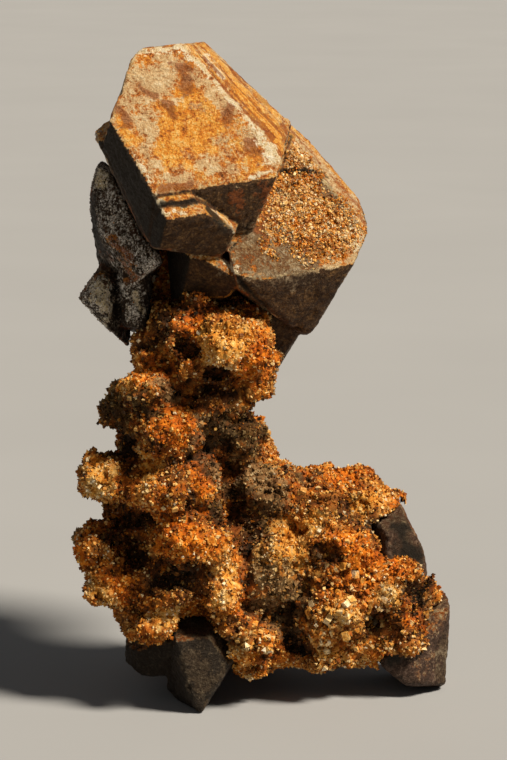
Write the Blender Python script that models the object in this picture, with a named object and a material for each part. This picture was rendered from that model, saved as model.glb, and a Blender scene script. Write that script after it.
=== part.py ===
"""A stolzite crystal group on its column of rusty rock, as closed solids.

Everything is laid out in millimetres in one frame: x to the right, y away from the
viewer of the big crystal's front, z up, the resting plane at z = 0. The last step moves the
middle of the footprint box to the origin and turns millimetres into metres.
A crystal is a block cleaved by its faces. A face is named by its bearing (degrees from
straight ahead towards the right), its tilt above the horizontal, and its distance from
the crystal's own centre.
"""
import bpy
import bmesh
import math
import random
from mathutils import Matrix, Vector

# driving sizes, mm
FOOTPRINT_MIDDLE = (0.7, 3.4)
SEAM = 0.3
BLOCK = 60.0
LOBE_VOXEL = 0.3
MATRIX_TRIANGLES = 8200

# directions shared by the crystals that grew side by side
BROAD = (20, 31)
BROAD_BACK = (-160, -31)
UNDER = (26, -29)
STRIATED = (61, 44)
STRIATED_BACK = (-119, -44)
STRIATED_EDGE = (73, 45)
CREST = (100, 46)
DARK_SIDE = (-51, -13)
SIDE_END = (-88, -26)

# the upper crystal: broad front, striated shoulder on the right, dark left side
UPPER = ((-3.6, 4.0, 42.5), {
    "broad front": (*BROAD, 7.5),
    "under": (*UNDER, 9.6),
    "dark side": (*DARK_SIDE, 10.8),
    "upper left": (-93, 18, 6.7),
    "top left corner": (-100, 44, 7.6),
    "top": (-130, 81, 7.2),
    "striated": (60, 44, 6.1),
    "right end": (93, -23, 5.2),
    "right corner": (68, 31, 6.6),
    "side end": (*SIDE_END, 6.7),
    "base": (41, -78, 7.3),
    "crest": (*CREST, 5.1),
    "back": (*BROAD_BACK, 4.4),
    "back bevel": (-170, 20, 10.2),
})
# two low steps under its broad front
STEP = ((-4.3, -2.0, 36.4), {
    "tread": (*BROAD, 5.6),
    "riser": (27, -35, 3.1),
    "slope": (69, 34, 3.4),
    "right end": (94, -28, 2.4),
    "base": (-52, -80, 1.5),
    "dark side": (*DARK_SIDE, 5.1),
    "side end": (*SIDE_END, 3.2),
    "cap": (0, 80, 5.2),
    "back": (*BROAD_BACK, 4.0),
})
THIN_STEP = ((-5.4, -7.0, 39.7), {
    "tread": (*BROAD, 0.5),
    "riser": (28, -44, 0.8),
    "slope": (82, 49, 0.7),
    "dark side": (*DARK_SIDE, 2.0),
    "back": (*BROAD_BACK, 1.5),
    "cap": (0, 80, 1.1),
})
# a plate set back behind the dark left side
LEFT_PLATE = ((-9.2, 1.0, 41.0), {
    "broad front": (*BROAD, 5.9),
    "dark side": (*DARK_SIDE, 4.3),
    "shoulder": (-99, 52, 3.4),
    "side end": (*SIDE_END, 1.1),
    "top": (-116, 72, 3.4),
    "top bevel": (-60, 60, 4.3),
    "under": (*UNDER, 7.5),
    "base": (41, -78, 5.7),
    "right end": (90, 0, 2.3),
    "back": (*BROAD_BACK, 3.5),
})
# the lower crystal on the right, set back from the upper one
LOWER = ((2.8, 6.0, 37.8), {
    "broad front": (*BROAD, 5.2),
    "striated": (*STRIATED, 4.4),
    "striated edge": (*STRIATED_EDGE, 4.2),
    "crest": (*CREST, 4.1),
    "crest end": (97, 40, 3.9),
    "under": (27, -30, 9.4),
    "right upper": (92, 13, 5.0),
    "right": (91, 2, 5.5),
    "right lower": (88, -30, 6.2),
    "right under": (89, -25, 6.0),
    "base": (61, -75, 10.1),
    "under bevel": (6, -23, 11.0),
    "lower left": (-75, -55, 8.1),
    "left": (-90, -13, 5.1),
    "top": (-93, 32, 12.0),
    "back": (*BROAD_BACK, 4.6),
    "back bevel": (-166, 22, 11.6),
    "striated back": (*STRIATED_BACK, 7.5),
})
RAISED_CORNER = ((2.9, 2.1, 41.2), {
    "tread": (*BROAD, 0.6),
    "striated": (*STRIATED, 0.7),
    "striated edge": (*STRIATED_EDGE, 0.8),
    "crest end": (97, 40, 1.9),
    "riser": (17, -45, 1.1),
    "left": (-88, 18, 0.6),
    "back": (*BROAD_BACK, 1.5),
})
# two small ones tucked under the pair
UNDER_STEP = ((-3.1, -1.7, 33.0), {
    "top": (35, 38, 2.5),
    "front": (-20, -36, 1.2),
    "right": (89, 55, 1.8),
    "end": (78, -40, 1.9),
    "base": (-5, -75, 1.5),
    "left": (-70, -5, 2.1),
    "cap": (0, 80, 2.1),
    "back": (180, 0, 2.9),
})
UNDER_LOWER = ((1.1, 3.2, 27.6), {
    "front": (24, -24, 1.7),
    "right": (79, -32, 1.9),
    "left": (-60, -20, 1.4),
    "base": (30, -75, 3.4),
    "cap": (0, 85, 3.0),
    "tip bevel": (84, -31, 1.8),
    "back": (-156, 24, 3.5),
})
HEAD = (UPPER, STEP, THIN_STEP, LEFT_PLATE, LOWER, RAISED_CORNER, UNDER_STEP, UNDER_LOWER)

# the dark group at the left of the head
SIDE_LONG = ((-9.9, 1.0, 36.9), {
    "front": (-32, 14, 3.5),
    "left": (-78, -10, 1.9),
    "lower left": (-66, -33, 2.5),
    "edge": (-89, 1, 2.2),
    "lower edge": (-89, -8, 2.2),
    "upper edge": (-89, 15, 2.6),
    "top": (96, 66, 3.1),
    "right": (89, 29, 1.3),
    "base": (75, -48, 4.5),
    "back": (148, -14, 2.5),
})
SIDE_POINT = ((-11.0, 1.2, 30.6), {
    "front": (-22, 24, 2.8),
    "left": (-63, 25, 2.1),
    "under": (-46, -24, 1.9),
    "right": (82, 23, 1.2),
    "top": (22, 74, 2.5),
    "upper edge": (-95, 32, 1.9),
    "lower edge": (-81, -44, 1.2),
    "back": (158, -24, 3.0),
    "right back": (70, 0, 1.1),
})
SIDE_PRISM = ((-8.8, 1.2, 30.8), {
    "front": (-12, -8, 2.6),
    "left": (-80, -3, 1.3),
    "right": (88, -4, 1.0),
    "right front": (42, -5, 2.2),
    "top": (-111, 80, 2.9),
    "base": (-31, -76, 2.1),
    "back": (168, 8, 3.0),
})
SIDE = (SIDE_LONG, SIDE_POINT, SIDE_PRISM)

# the pointed crystal at the bottom and its neighbour
FOOT_POINT = ((-4.2, -1.0, 3.2), {
    "front": (16, -6, 2.5),
    "left front": (-64, -16, 2.0),
    "right": (81, -31, 2.1),
    "left": (-62, -38, 2.5),
    "left edge": (-88, 6, 2.1),
    "top": (10, 74, 3.5),
    "top right": (62, 24, 3.0),
    "back": (180, -25, 2.7),
    "resting": (0, -90, 3.2),
})
FOOT_STUB = ((-8.1, 1.6, 3.3), {
    "front": (-20, -14, 2.1),
    "left": (-93, 5, 1.7),
    "left front": (-58, -4, 1.8),
    "left under": (-84, -55, 1.2),
    "base": (10, -78, 1.5),
    "top": (-50, 52, 2.0),
    "right": (80, 0, 2.6),
    "back": (175, 0, 2.9),
})
# the two crystals in the right end of the arm
ARM_WEDGE = ((11.2, 4.0, 11.4), {
    "front": (30, 12, 2.2),
    "right": (95, 24, 1.4),
    "right lower": (92, 7, 1.7),
    "top": (-30, 70, 2.6),
    "left": (-62, 8, 2.4),
    "base": (10, -80, 2.5),
    "back": (-175, 5, 3.2),
})
ARM_CORNER = ((13.3, 6.0, 3.0), {
    "right front": (48, 8, 2.5),
    "front": (4, -10, 5.1),
    "right": (95, -5, 1.5),
    "top left": (-87, 58, 2.3),
    "top": (10, 60, 3.3),
    "left under": (-80, -49, 3.1),
    "left": (-80, 0, 4.4),
    "front under": (6, -73, 3.2),
    "back": (175, -8, 3.0),
    "resting": (0, -90, 3.0),
})

# the rock as rounded lobes: centre x, y, z and half sizes x, y, z
NECK_LOBES = (
    (-1.7, -1.6, 27.9, 3.0, 4.2, 2.7),  # big pale lump
    (-4.0, -1.6, 31.5, 1.3, 2.0, 1.4),  # knob above it
    (-5.6, -1.2, 28.9, 1.8, 2.8, 1.9),  # left of the lump
    (-7.6, 0.2, 27.2, 1.7, 2.8, 1.7),   # under the side crystals
    (0.2, 1.0, 25.7, 1.4, 3.2, 2.0),    # right flank
    (-4.0, 3.5, 28.2, 3.6, 4.2, 3.9),   # core
    (-2.9, 6.5, 32.5, 3.8, 4.0, 4.6),   # saddle that holds the head
    (-7.6, 5.4, 33.0, 2.6, 3.0, 3.6),   # saddle behind the side crystals
    (-4.6, -0.8, 26.6, 1.6, 3.2, 1.4),  # web between lump and waist
    (-7.8, 1.6, 29.4, 1.6, 2.6, 1.6),   # dark web under the side crystals
    (-0.4, 1.8, 30.2, 2.4, 2.8, 1.8),   # web up to the lower crystal
)
COLUMN_LOBES = (
    (-3.4, 0.6, 23.5, 3.0, 4.2, 2.2),   # waist
    (-7.8, -2.2, 24.7, 2.2, 2.6, 1.5),  # pale knob on the left
    (-9.5, 0.4, 22.8, 1.6, 2.8, 2.2),   # dark druse at the left edge
    (-6.4, -2.0, 21.7, 2.7, 3.6, 2.2),  # ochre bulge
    (-0.8, 1.8, 20.2, 1.7, 3.0, 1.8),   # grey lump on the right
    (-5.7, 2.4, 19.9, 4.5, 4.2, 3.6),   # upper core
    (-10.6, -0.6, 17.7, 2.5, 3.2, 1.9),  # left shoulder
    (-6.1, -1.6, 17.3, 3.7, 4.2, 2.4),  # middle
    (0.4, 2.2, 16.5, 2.8, 4.2, 2.3),    # right shoulder
    (2.4, 3.4, 15.7, 1.8, 3.6, 2.0),    # right shoulder, lower
    (-4.8, 3.0, 13.6, 5.9, 5.4, 4.5),   # lower core
    (-4.5, -1.6, 13.1, 3.1, 4.6, 2.8),  # round bulge
    (-11.2, 0.2, 12.1, 2.4, 3.2, 2.1),  # left wall
    (-10.3, -0.2, 9.5, 2.1, 3.0, 1.6),  # left wall, lower
    (-6.7, -1.2, 9.5, 3.1, 3.8, 1.6),   # ridge under the cavity
    (-7.0, -1.6, 6.9, 1.6, 3.0, 1.5),   # knob over the pointed crystal
    (-2.4, -1.8, 9.4, 1.6, 3.4, 2.1),   # cream knob
    (0.6, 1.2, 10.9, 2.7, 4.6, 3.9),    # between column and arm
    (-8.9, 0.6, 7.4, 1.7, 2.8, 1.3),    # left flank of the base
    (-8.0, 1.2, 6.3, 1.8, 3.0, 1.3),    # over the stub crystal
    (-1.2, 0.2, 5.8, 3.3, 4.2, 2.2),    # low centre
    (-0.3, 1.2, 3.4, 1.8, 2.8, 1.5),    # low centre point
    (-3.7, 4.0, 7.1, 5.5, 5.6, 3.3),    # core of the base
)
ARM_LOBES = (
    (4.9, 4.0, 14.9, 3.5, 4.8, 2.4),    # top
    (9.3, 5.4, 13.8, 2.3, 3.4, 1.6),    # top ridge
    (7.6, 5.4, 15.4, 1.8, 3.4, 1.5),    # crest end
    (5.8, 3.2, 11.6, 3.9, 5.6, 3.5),    # middle
    (10.1, 3.6, 8.7, 3.3, 5.2, 3.3),    # right
    (12.1, 5.0, 6.1, 2.0, 3.8, 2.5),    # right edge
    (5.9, 2.6, 7.0, 3.9, 5.2, 3.2),     # low
    (10.9, 4.2, 4.5, 3.0, 4.6, 2.1),    # low right
    (2.0, 1.4, 4.4, 1.8, 2.8, 1.7),     # underside, beside the low centre
    (4.9, 2.2, 3.9, 2.6, 3.4, 1.8),     # underside
    (7.6, 3.2, 3.9, 2.0, 3.6, 1.6),     # underside, right
    (6.9, -1.4, 7.8, 0.9, 1.8, 1.2),    # knob of pale grains
)
BACK_LOBES = (
    (-4.4, 6.0, 22.4, 3.8, 3.2, 3.6),   # behind the waist
    (-3.0, 7.0, 16.4, 5.0, 3.4, 4.6),   # behind the column
    (-8.0, 6.0, 12.0, 3.4, 3.8, 4.0),   # back of the left wall
    (3.4, 7.4, 10.6, 4.6, 3.6, 4.2),    # behind the arm
    (9.2, 8.0, 8.2, 3.4, 3.2, 3.6),     # back of the arm's end
    (-4.6, 9.0, 8.4, 4.8, 4.2, 4.4),    # top of the back foot
    (0.6, 9.4, 7.0, 4.2, 3.8, 3.4),     # between back foot and arm
    (-4.8, 11.8, 3.8, 4.0, 3.0, 3.6),   # back foot
    (-0.8, 11.6, 3.6, 3.4, 2.8, 2.6),   # back foot, right part
    (-4.2, 12.8, 1.2, 4.0, 2.3, 2.6),   # back foot, resting end
)
LOBES = NECK_LOBES + COLUMN_LOBES + ARM_LOBES + BACK_LOBES

# holes and grooves in it, same numbers
PITS = (
    (-8.2, -4.4, 15.1, 0.9, 3.6, 1.1),  # deep hole in the left wall
    (-9.7, -3.2, 12.7, 1.1, 2.6, 1.3),  # hollow beside it
    (-4.5, -5.9, 16.7, 0.6, 1.4, 0.5),  # small hole
    (-2.7, -4.9, 26.2, 1.1, 2.2, 0.7),  # slot under the neck lump
    (-5.3, -4.6, 28.2, 0.7, 2.2, 0.9),  # hole beside the neck lump
    (-0.3, -3.4, 14.4, 0.9, 2.6, 1.4),  # gully right of the column
    (-0.6, -3.9, 12.4, 0.6, 1.6, 1.2),  # the same gully, lower
    (5.4, -2.8, 12.1, 1.3, 2.4, 0.7),   # hole in the arm
    (8.2, 0.4, 14.5, 1.6, 3.0, 0.6),    # slot under the arm's ridge
    (9.1, -1.6, 6.6, 1.0, 2.2, 0.8),    # low on the arm
    (3.4, -1.4, 5.0, 0.7, 2.0, 0.9),    # low centre
    (-3.4, -4.3, 6.0, 1.1, 2.4, 0.7),   # above the pointed crystal
    (-5.4, -5.4, 11.3, 1.5, 1.6, 0.4),  # groove under the ridge
    (-8.9, -4.1, 9.7, 1.0, 1.8, 0.7),   # groove, low left
    (-6.5, -3.6, 26.6, 1.9, 1.8, 0.4),  # slot over the pale knob
    (-10.1, -2.4, 20.7, 1.5, 2.6, 0.8),  # notch over the left shoulder
    (-10.5, -3.4, 15.8, 1.6, 2.2, 0.6),  # notch under the left shoulder
    (-4.8, -4.2, 24.0, 0.9, 1.6, 0.6),  # hollow by the waist
    (-0.8, -1.6, 19.5, 0.7, 1.8, 0.7),  # right shoulder
    (3.9, -2.9, 8.9, 0.9, 1.8, 0.9),    # centre right
    (-1.4, 9.8, 19.2, 1.4, 1.8, 0.8),   # back of the column
    (0.6, 11.0, 12.8, 1.2, 1.8, 1.2),   # between back lobes
    (6.6, 10.8, 8.0, 1.4, 1.8, 0.9),    # back of the arm
)

KNOB_COUNT = 460
KNOB_RADII = (0.4, 1.05)
KNOB_SEED = 11

GREY_CRYSTAL = (0.30, 0.26, 0.21, 1.0)
OCHRE_CRYSTAL = (0.62, 0.47, 0.29, 1.0)
DARK_CRYSTAL = (0.20, 0.18, 0.15, 1.0)
RUSTY_ROCK = (0.55, 0.34, 0.15, 1.0)


def clear_scene():
    """Start from an empty file."""
    for obj in list(bpy.data.objects):
        bpy.data.objects.remove(obj, do_unlink=True)


def direction(bearing, tilt):
    """The outward direction of a face."""
    b = math.radians(bearing)
    t = math.radians(tilt)
    return Vector((math.sin(b) * math.cos(t), -math.cos(b) * math.cos(t), math.sin(t)))


def object_of(bm, name):
    """Put a finished bmesh in the scene under a name."""
    bmesh.ops.recalc_face_normals(bm, faces=bm.faces[:])
    mesh = bpy.data.meshes.new(name)
    bm.to_mesh(mesh)
    bm.free()
    obj = bpy.data.objects.new(name, mesh)
    bpy.context.scene.collection.objects.link(obj)
    return obj


def crystal(name, recipe, grown=0.0):
    """Cleave one crystal out of a block; grown pushes all its faces outwards."""
    centre, faces = recipe
    middle = Vector(centre)
    bm = bmesh.new()
    bmesh.ops.create_cube(bm, size=BLOCK)
    bmesh.ops.translate(bm, vec=middle, verts=bm.verts[:])
    for bearing, tilt, distance in faces.values():
        outward = direction(bearing, tilt)
        everything = bm.verts[:] + bm.edges[:] + bm.faces[:]
        bmesh.ops.bisect_plane(
            bm,
            geom=everything,
            dist=0.0001,
            plane_co=middle + outward * (distance + grown),
            plane_no=outward,
            clear_outer=True,
        )
        rim = [edge for edge in bm.edges if edge.is_boundary]
        if rim:
            bmesh.ops.holes_fill(bm, edges=rim)
    bmesh.ops.remove_doubles(bm, verts=bm.verts[:], dist=0.01)
    return object_of(bm, name)


def ball(bm, lobe, subdivisions=3):
    """Add one ellipsoid to a bmesh."""
    x, y, z, rx, ry, rz = lobe
    place = Matrix.Translation((x, y, z)) @ Matrix.Diagonal((rx, ry, rz, 1.0))
    bmesh.ops.create_icosphere(bm, subdivisions=subdivisions, radius=1.0, matrix=place)


def balls(name, lobes, subdivisions=3):
    """All the ellipsoids of a list in one mesh."""
    bm = bmesh.new()
    for lobe in lobes:
        ball(bm, lobe, subdivisions)
    return object_of(bm, name)


def bake(obj):
    """Turn an object's modifiers into its mesh."""
    graph = bpy.context.evaluated_depsgraph_get()
    finished = bpy.data.meshes.new_from_object(obj.evaluated_get(graph))
    obj.modifiers.clear()
    obj.data = finished
    return obj


def remesh(obj, voxel):
    """Fuse everything in one object into a single skin."""
    modifier = obj.modifiers.new("fuse", 'REMESH')
    modifier.mode = 'VOXEL'
    modifier.voxel_size = voxel
    modifier.adaptivity = 0.0
    return bake(obj)


def combine(obj, other, operation):
    """Boolean one object with another, which is used up."""
    modifier = obj.modifiers.new("combine", 'BOOLEAN')
    modifier.operation = operation
    modifier.solver = 'EXACT'
    modifier.object = other
    bake(obj)
    bpy.data.objects.remove(other, do_unlink=True)
    return obj


def intergrowth(name, recipes):
    """Crystals grown into each other, as one solid."""
    group = crystal(name, recipes[0])
    for recipe in recipes[1:]:
        combine(group, crystal("next", recipe), 'UNION')
    return group


def add_knobs(rock):
    """Sink small seeded knobs into the rock's skin."""
    rng = random.Random(KNOB_SEED)
    faces = list(rock.data.polygons)
    bm = bmesh.new()
    bm.from_mesh(rock.data)
    for _ in range(KNOB_COUNT):
        face = faces[rng.randrange(len(faces))]
        radius = rng.uniform(*KNOB_RADII)
        spot = face.center - face.normal * radius * rng.uniform(0.1, 0.5)
        sizes = [radius * rng.uniform(0.8, 1.3) for _ in range(3)]
        ball(bm, (*spot, *sizes), subdivisions=2)
    bm.to_mesh(rock.data)
    bm.free()
    return rock


def thin_out(obj, triangles):
    """Bring a dense skin down to a number of triangles."""
    obj.data.calc_loop_triangles()
    modifier = obj.modifiers.new("thin out", 'DECIMATE')
    modifier.ratio = triangles / len(obj.data.loop_triangles)
    return bake(obj)


def slab_below_ground():
    """Everything under the resting plane."""
    bm = bmesh.new()
    bmesh.ops.create_cube(bm, size=BLOCK)
    bmesh.ops.translate(bm, vec=(0.0, 0.0, -BLOCK / 2), verts=bm.verts[:])
    return object_of(bm, "slab")


def keep_biggest(obj):
    """Drop crumbs that a cut left loose."""
    bm = bmesh.new()
    bm.from_mesh(obj.data)
    left = set(bm.verts)
    pieces = []
    while left:
        piece = set()
        queue = [left.pop()]
        while queue:
            vert = queue.pop()
            piece.add(vert)
            for edge in vert.link_edges:
                other = edge.other_vert(vert)
                if other in left:
                    left.remove(other)
                    queue.append(other)
        pieces.append(piece)
    pieces.sort(key=len)
    for piece in pieces[:-1]:
        bmesh.ops.delete(bm, geom=list(piece), context='VERTS')
    bm.to_mesh(obj.data)
    bm.free()
    return obj


def make_matrix(sockets):
    """The rock: lobes fused, pitted, knobbed, thinned, socketed and levelled."""
    rock = remesh(balls("matrix", LOBES), LOBE_VOXEL)
    add_knobs(rock)
    remesh(rock, LOBE_VOXEL)
    for number, pit in enumerate(PITS):
        combine(rock, balls("pit %d" % number, (pit,), 2), 'DIFFERENCE')
    remesh(rock, LOBE_VOXEL)
    thin_out(rock, MATRIX_TRIANGLES)
    for number, recipe in enumerate(sockets):
        combine(rock, crystal("socket %d" % number, recipe, SEAM), 'DIFFERENCE')
    combine(rock, slab_below_ground(), 'DIFFERENCE')
    return keep_biggest(rock)


def material(name, colour, roughness):
    """A plain surface; the fine look is made elsewhere."""
    made = bpy.data.materials.new(name)
    made.use_nodes = True
    shader = made.node_tree.nodes["Principled BSDF"]
    shader.inputs["Base Color"].default_value = colour
    shader.inputs["Roughness"].default_value = roughness
    made.diffuse_color = colour
    return made


def finish(obj, surface):
    """Triangulate, dress, centre and scale one solid."""
    bm = bmesh.new()
    bm.from_mesh(obj.data)
    bmesh.ops.remove_doubles(bm, verts=bm.verts[:], dist=0.005)
    bmesh.ops.dissolve_degenerate(bm, edges=bm.edges[:], dist=0.005)
    bmesh.ops.triangulate(bm, faces=bm.faces[:])
    bmesh.ops.recalc_face_normals(bm, faces=bm.faces[:])
    bm.to_mesh(obj.data)
    bm.free()
    centre = Matrix.Translation((-FOOTPRINT_MIDDLE[0], -FOOTPRINT_MIDDLE[1], 0.0))
    obj.data.transform(Matrix.Scale(0.001, 4) @ centre)
    obj.data.materials.clear()
    obj.data.materials.append(surface)


def build():
    """Make every solid of the specimen."""
    clear_scene()
    head = intergrowth("head_crystals", HEAD)
    side = intergrowth("side_crystals", SIDE)
    foot = intergrowth("foot_crystals", (FOOT_POINT, FOOT_STUB))
    wedge = crystal("arm_wedge_crystal", ARM_WEDGE)
    corner = crystal("arm_corner_crystal", ARM_CORNER)
    sockets = HEAD + SIDE + (FOOT_POINT, FOOT_STUB, ARM_WEDGE, ARM_CORNER)
    rock = make_matrix(sockets)
    for recipe in HEAD:
        combine(side, crystal("gap", recipe, SEAM), 'DIFFERENCE')
    finish(head, material("head_crystals", OCHRE_CRYSTAL, 0.55))
    finish(side, material("side_crystals", DARK_CRYSTAL, 0.55))
    finish(foot, material("foot_crystals", GREY_CRYSTAL, 0.6))
    finish(wedge, material("arm_wedge_crystal", GREY_CRYSTAL, 0.6))
    finish(corner, material("arm_corner_crystal", GREY_CRYSTAL, 0.6))
    finish(rock, material("matrix", RUSTY_ROCK, 0.85))


build()
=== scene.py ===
"""The looks of a stolzite specimen: fine surfaces, grains, materials, floor, lights and camera.

Meshes are in metres, and the constants are in millimetres and turned with MM. The frame has
x to the right, y away from the viewer and z up, and the specimen stands on z = 0.
Places on the side seen in the photograph are given by its pixels, 507 wide and 760 high,
and every one of them is dropped onto the surface that carries it.
"""
import math

import bmesh
import bpy
import numpy as np
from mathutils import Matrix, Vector, noise
from mathutils.bvhtree import BVHTree
from mathutils.kdtree import KDTree


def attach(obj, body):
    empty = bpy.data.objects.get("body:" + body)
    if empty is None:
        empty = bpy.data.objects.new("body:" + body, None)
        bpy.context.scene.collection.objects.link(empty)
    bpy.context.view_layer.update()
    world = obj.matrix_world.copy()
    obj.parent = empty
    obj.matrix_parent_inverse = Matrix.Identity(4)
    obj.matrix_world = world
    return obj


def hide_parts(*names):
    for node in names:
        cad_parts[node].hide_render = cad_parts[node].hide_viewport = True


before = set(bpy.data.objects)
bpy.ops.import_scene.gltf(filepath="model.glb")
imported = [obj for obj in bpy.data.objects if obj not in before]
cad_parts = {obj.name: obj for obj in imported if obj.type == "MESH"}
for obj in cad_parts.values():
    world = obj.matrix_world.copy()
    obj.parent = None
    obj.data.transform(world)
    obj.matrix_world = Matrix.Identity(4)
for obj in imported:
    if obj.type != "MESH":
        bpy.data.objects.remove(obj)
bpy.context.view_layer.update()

MM = 0.001

# camera
PHOTO_SIZE = (507, 760)
LENS = 160.0
SENSOR = 36.0
TARGET = Vector((-0.7, -3.4, 24.95)) * MM
DISTANCE = 252.7 * MM
ELEVATION = math.radians(10.0)
BACK = Vector((0.0, -math.cos(ELEVATION), math.sin(ELEVATION)))
UP = Vector((0.0, math.sin(ELEVATION), math.cos(ELEVATION)))
RIGHT = Vector((1.0, 0.0, 0.0))
EYE = TARGET + BACK * DISTANCE

# fineness of the skins, and the edges of the solids that wear, painted highlight and painted shade follow
CRYSTAL_VOXEL = 0.17
MATRIX_VOXEL = 0.22
SHARP_ANGLE = math.radians(9.0)
KEEN_ANGLE = math.radians(28.0)
EDGE_STEP = 0.05
# in metres: as good as nothing, and a place that nothing is near
TINY = 1e-6
FAR_OFF = (9.0, 9.0, 9.0)

# relief of the crystals in mm: reaches beside edges and creases, then heights and depths
ROUNDED_REACH = 0.16
CHIPPED_REACH = 0.2
# how far the pale worn edges reach, which are partly a painted highlight
WORN_AND_LIT_EDGE_REACH = 0.22
CREASE_REACH = 0.12
# how far the painted shade in the creases reaches
CREASE_SHADE_REACH = 0.2
EDGE_LOSS = 0.03
CHIP_DEPTH = 0.22
STEP_HEIGHT = 0.05
STRIPE_HEIGHT = 0.12
CREASE_DEPTH = 0.06
CRUST_HEIGHT = 0.3
LEDGE_HEIGHT = 0.12
CRACK_DEPTH = 0.25

# stripes: how many a mm, how fast they change along their length, and how they sway
FINE_STRIPES = (2.9, 1.0, 1.0)
BROAD_STRIPES = (0.9, 1.0, 1.0)
STRIPE_CHANGE = 0.06
STRIPE_SWAYS = ((0.06, 0.9, 0.0), (0.03, 2.3, 1.0))

# relief of the rock in mm; each size of knob has its width, waver, height and how far it is sunk
LUMP_HEIGHT = 0.4
BACK_LUMP_HEIGHT = 0.6
ROCK_KNOBS = ((1.5, 0.5, 0.38, 0.22), (0.7, 0.4, 0.28, 0.1))
KNOB_REACH = 0.75
KNOB_STEEPNESS = 1.6
GRIT_HEIGHT = 0.1
PIT_DEPTH = 0.5
HOLLOW_DEPTH = 0.6
# the most that the relief takes off or adds, as a share of the rock's thickness
MOST_OFF = 0.3
MOST_ADDED = 0.4
# where the rays that measure this thickness start and end
ROOM_GAP = 0.05
ROOM_REACH = 6.0

# how open the sky is: rays for each point, their scatter, and where in mm they start and end
SKY_RAYS = 8
SKY_SCATTER = 0.7
SKY_GAP = 0.15
SKY_REACH = 2.5

# grains: how many, and their smallest and biggest half width in mm
HEAD_GRAINS = (6000, (0.045, 0.11))
HEAD_FLAKES = (420, (0.08, 0.16))
SIDE_GRAINS = (5000, (0.04, 0.08))
MATRIX_GRAINS = ((25000, (0.05, 0.09)), (24000, (0.06, 0.13)), (20000, (0.09, 0.18)))
MATRIX_BLOCKS = (420, (0.18, 0.34))
# shares of chips, wedges, bipyramids and blocks
GRAIN_MIX = (0.25, 0.35, 0.28, 0.12)
# how unlike each other the grains are in shape, lean, tone and region
GRAIN_STRETCH = (0.75, 1.3)
GRAIN_UNEVENNESS = 0.07
GRAIN_LEAN = 0.45
GRAIN_TONE = 0.62
TONE_SPREAD = 0.2
REGION_SPREAD = 0.22
# grains that are pale in any region
PALE_SHARE = 0.22
PALE_AMOUNT = 0.75

# the strokes below are (width in mm, pixel, pixel, ...) over the photograph
HEAD_PALE = (
    (0.4, (142, 52), (163, 48), (186, 48)), (0.3, (190, 56), (204, 66), (214, 80)),
    (0.22, (216, 82), (230, 98), (240, 110)), (0.35, (243, 114), (256, 128)),
    (0.6, (262, 138), (272, 158)), (0.2, (272, 171), (250, 178)),
    (0.16, (134, 156), (146, 174), (157, 198)), (0.18, (156, 200), (162, 212), (172, 217)),
    (0.13, (160, 201), (180, 214), (210, 207), (234, 230)), (0.3, (294, 144), (312, 166)),
    (0.2, (352, 226), (359, 238), (357, 250)), (0.25, (226, 262), (235, 271)),
    (0.2, (206, 58), (222, 77)), (0.2, (98, 119), (101, 121)), (0.2, (94, 130), (97, 134)),
)
HEAD_DUSTY = (
    (0.8, (146, 118), (150, 134)), (0.6, (143, 148), (148, 160), (154, 176)),
    (0.6, (252, 128), (266, 148), (274, 164)), (1.3, (126, 84), (142, 80), (164, 84)),
    (0.9, (122, 106), (134, 96)), (0.7, (160, 58), (176, 62)), (0.6, (222, 98), (230, 106)),
    (0.7, (232, 170), (204, 162)), (0.9, (306, 150), (330, 178), (352, 208)),
    (0.7, (196, 78), (214, 92)), (0.5, (172, 176), (190, 180)),
    (0.22, (250, 273), (300, 273), (356, 259)), (0.5, (348, 220), (358, 236), (356, 254)),
)
HEAD_GREY = (
    (1.5, (246, 252), (272, 262), (300, 262)), (1.2, (238, 262), (256, 236)),
    (0.7, (280, 226), (292, 246)), (0.5, (322, 180), (338, 200), (354, 224)),
)
HEAD_STAIN = (
    (0.5, (232, 194), (240, 206)), (0.7, (266, 192), (270, 214), (262, 228)),
    (0.6, (182, 68), (190, 76), (186, 86)), (0.4, (233, 106), (226, 120)),
    (0.5, (252, 140), (250, 148), (257, 156)), (0.3, (142, 88), (154, 95)),
    (0.3, (166, 104), (174, 116)), (0.35, (162, 190), (190, 184)),
    (0.4, (234, 62), (262, 100), (290, 136)), (0.3, (332, 206), (342, 218)),
    (0.4, (120, 110), (128, 122)),
)
HEAD_ORANGE = (
    (0.5, (122, 124), (132, 142)), (0.7, (136, 66), (148, 58), (160, 62)),
    (1.1, (180, 106), (200, 92), (216, 100)), (1.0, (168, 130), (190, 142), (206, 128)),
    (0.8, (162, 148), (184, 160)), (0.7, (256, 162), (240, 168)), (0.5, (200, 168), (188, 176)),
    (0.9, (240, 92), (262, 116), (276, 136)),
)
HEAD_CRUST = (
    (1.4, (284, 188), (308, 186)), (1.6, (286, 212), (318, 210), (334, 216)),
    (1.3, (296, 236), (330, 238), (348, 234)), (1.0, (262, 208), (270, 226)),
    (0.9, (296, 152), (302, 162)), (0.4, (310, 256), (330, 252)), (0.3, (260, 244), (276, 258)),
    (0.25, (296, 256), (304, 264)),
)
# painted shadow in the head's grooves and concave corners
HEAD_SHADOWS = (
    (0.3, (281, 171), (296, 172), (312, 170)), (0.25, (162, 204), (180, 204), (196, 200)),
    (0.5, (208, 208), (222, 224), (230, 228)),
)
HEAD_SALT = ((0.4, (101, 118), (96, 124), (95, 134)),)
HEAD_STROKES = {
    "pale": HEAD_PALE, "dusty": HEAD_DUSTY, "grey": HEAD_GREY, "stain": HEAD_STAIN,
    "salt": HEAD_SALT, "orange": HEAD_ORANGE, "crust": HEAD_CRUST, "dark": HEAD_SHADOWS,
}
# cracks: grooves that also get painted shade
HEAD_CRACKS = (
    (0.17, (236, 277), (246, 288), (262, 304), (272, 316), (298, 330)),
    (0.07, (200, 54), (209, 66), (218, 79)), (0.07, (329, 204), (336, 212), (334, 220), (340, 226)),
    (0.07, (250, 222), (240, 238), (230, 250)),
)
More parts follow.
